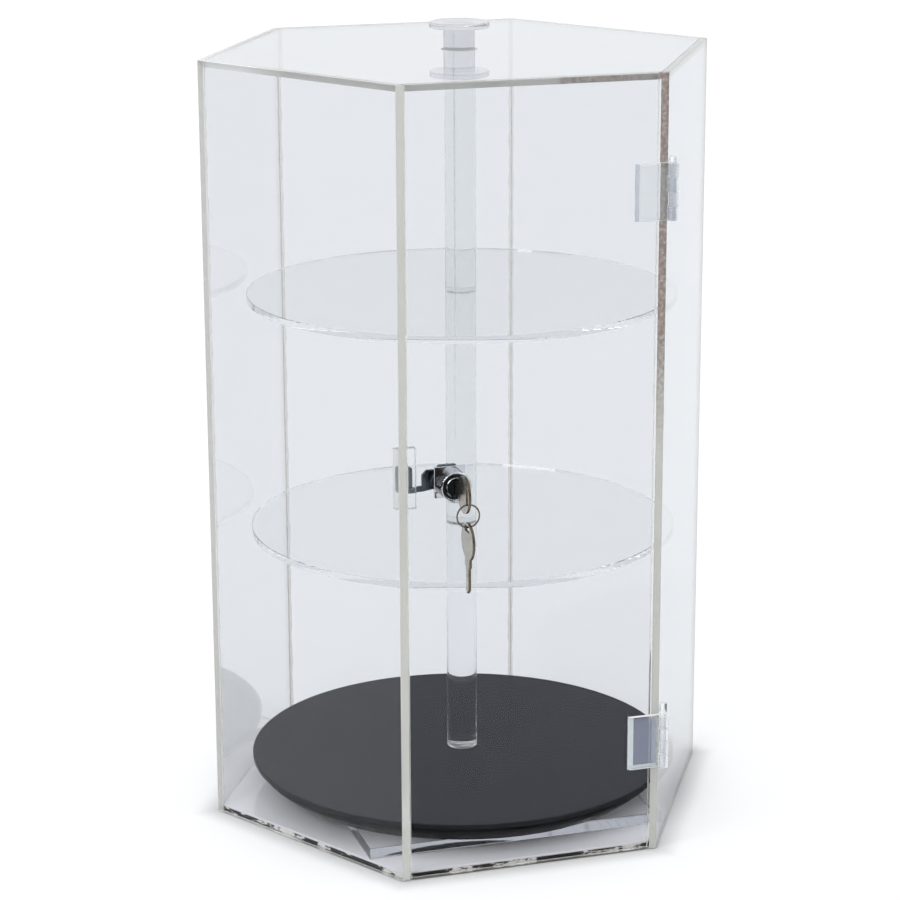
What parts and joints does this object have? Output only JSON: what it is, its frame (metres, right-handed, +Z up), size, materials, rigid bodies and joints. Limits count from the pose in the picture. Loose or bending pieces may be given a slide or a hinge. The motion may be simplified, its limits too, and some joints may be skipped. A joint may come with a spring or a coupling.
{
  "type": "rotating display case",
  "caption": "Six-sided clear acrylic countertop display case with a hinged locking door and round shelves on a central shaft that turns with a black turntable.",
  "frame": {"origin": "centre of the base panel underside, on the axis of the shaft", "axes": "+Z up along the shaft, -Y out through the door, +X to the right seen from the door side"},
  "size_m": [0.3456, 0.3503, 0.5257],
  "materials": {
    "clear_acrylic": "clear, polished faces",
    "clear_rod": "clear, polished",
    "clear_hinge": "clear, moulded",
    "black_plastic": "satin",
    "cage_plastic": "moulded",
    "steel": "polished",
    "chrome_plate": "mirror plated",
    "nickel": "nickel plated",
    "ring_wire": "drawn wire"
  },
  "bodies": {
    "case": {"base_panel": "clear_acrylic", "riser_plate": "clear_acrylic", "left_wall": "clear_acrylic", "back_left_wall": "clear_acrylic", "back_wall": "clear_acrylic", "back_right_wall": "clear_acrylic", "right_wall": "clear_acrylic", "top_panel": "clear_acrylic", "strike_plate": "clear_acrylic", "upper_hinge_wall_leaf": "clear_hinge", "lower_hinge_wall_leaf": "clear_hinge", "turntable_pan": "black_plastic"},
    "bearing": {"ball_cage": "cage_plastic", "bearing_ball_1": "steel", "bearing_ball_2": "steel", "bearing_ball_3": "steel", "bearing_ball_4": "steel", "bearing_ball_5": "steel", "bearing_ball_6": "steel", "bearing_ball_7": "steel", "bearing_ball_8": "steel"},
    "carousel": {"turntable_disc": "black_plastic", "pivot_screw": "steel", "lower_shaft": "clear_rod", "lower_shelf": "clear_acrylic", "middle_shaft": "clear_rod", "upper_shelf": "clear_acrylic", "upper_shaft": "clear_rod", "knob_disc": "clear_acrylic"},
    "door": {"door_panel": "clear_acrylic", "upper_hinge_door_leaf": "clear_hinge", "lower_hinge_door_leaf": "clear_hinge", "upper_hinge_pin": "clear_hinge", "lower_hinge_pin": "clear_hinge", "lock_housing": "chrome_plate", "lock_base_plate": "chrome_plate", "lock_nut": "chrome_plate"},
    "plug": {"lock_plug": "chrome_plate", "hook_cam": "chrome_plate", "cam_screw": "steel"},
    "key": {"lock_key": "nickel"},
    "ring": {"key_ring": "ring_wire"},
    "spare": {"spare_key": "nickel"}
  },
  "joints": [
    {"name": "bearing_spin", "type": "hinge", "parent": "case", "child": "bearing", "pos_m": [0, 0, 0.0126], "axis": [0, 0, 1], "continuous": true},
    {"name": "carousel_spin", "type": "hinge", "parent": "case", "child": "carousel", "pos_m": [0, 0, 0.02495], "axis": [0, 0, 1], "continuous": true},
    {"name": "door_swing", "type": "hinge", "parent": "case", "child": "door", "pos_m": [0.08869, -0.15362, 0.254], "axis": [0, 0, 1], "range_deg": [0, 200]},
    {"name": "plug_turn", "type": "hinge", "parent": "door", "child": "plug", "pos_m": [-0.0545, -0.14982, 0.2628], "axis": [0, -1, 0], "range_deg": [0, 90]},
    {"name": "key_slide", "type": "slide", "parent": "plug", "child": "key", "axis": [0, -1, 0], "range_m": [0, 0.0195]},
    {"name": "ring_swing", "type": "hinge", "parent": "key", "child": "ring", "pos_m": [-0.0545, -0.18892, 0.2586], "axis": [-1, 0, 0], "range_deg": [-15, 40]},
    {"name": "spare_swing", "type": "hinge", "parent": "ring", "child": "spare", "pos_m": [-0.0545, -0.18892, 0.2444], "axis": [-1, 0, 0], "range_deg": [-15, 40]}
  ],
  "couplings": [
    {"joint": "bearing_spin", "follows": "carousel_spin", "ratio": 0.5}
  ]
}
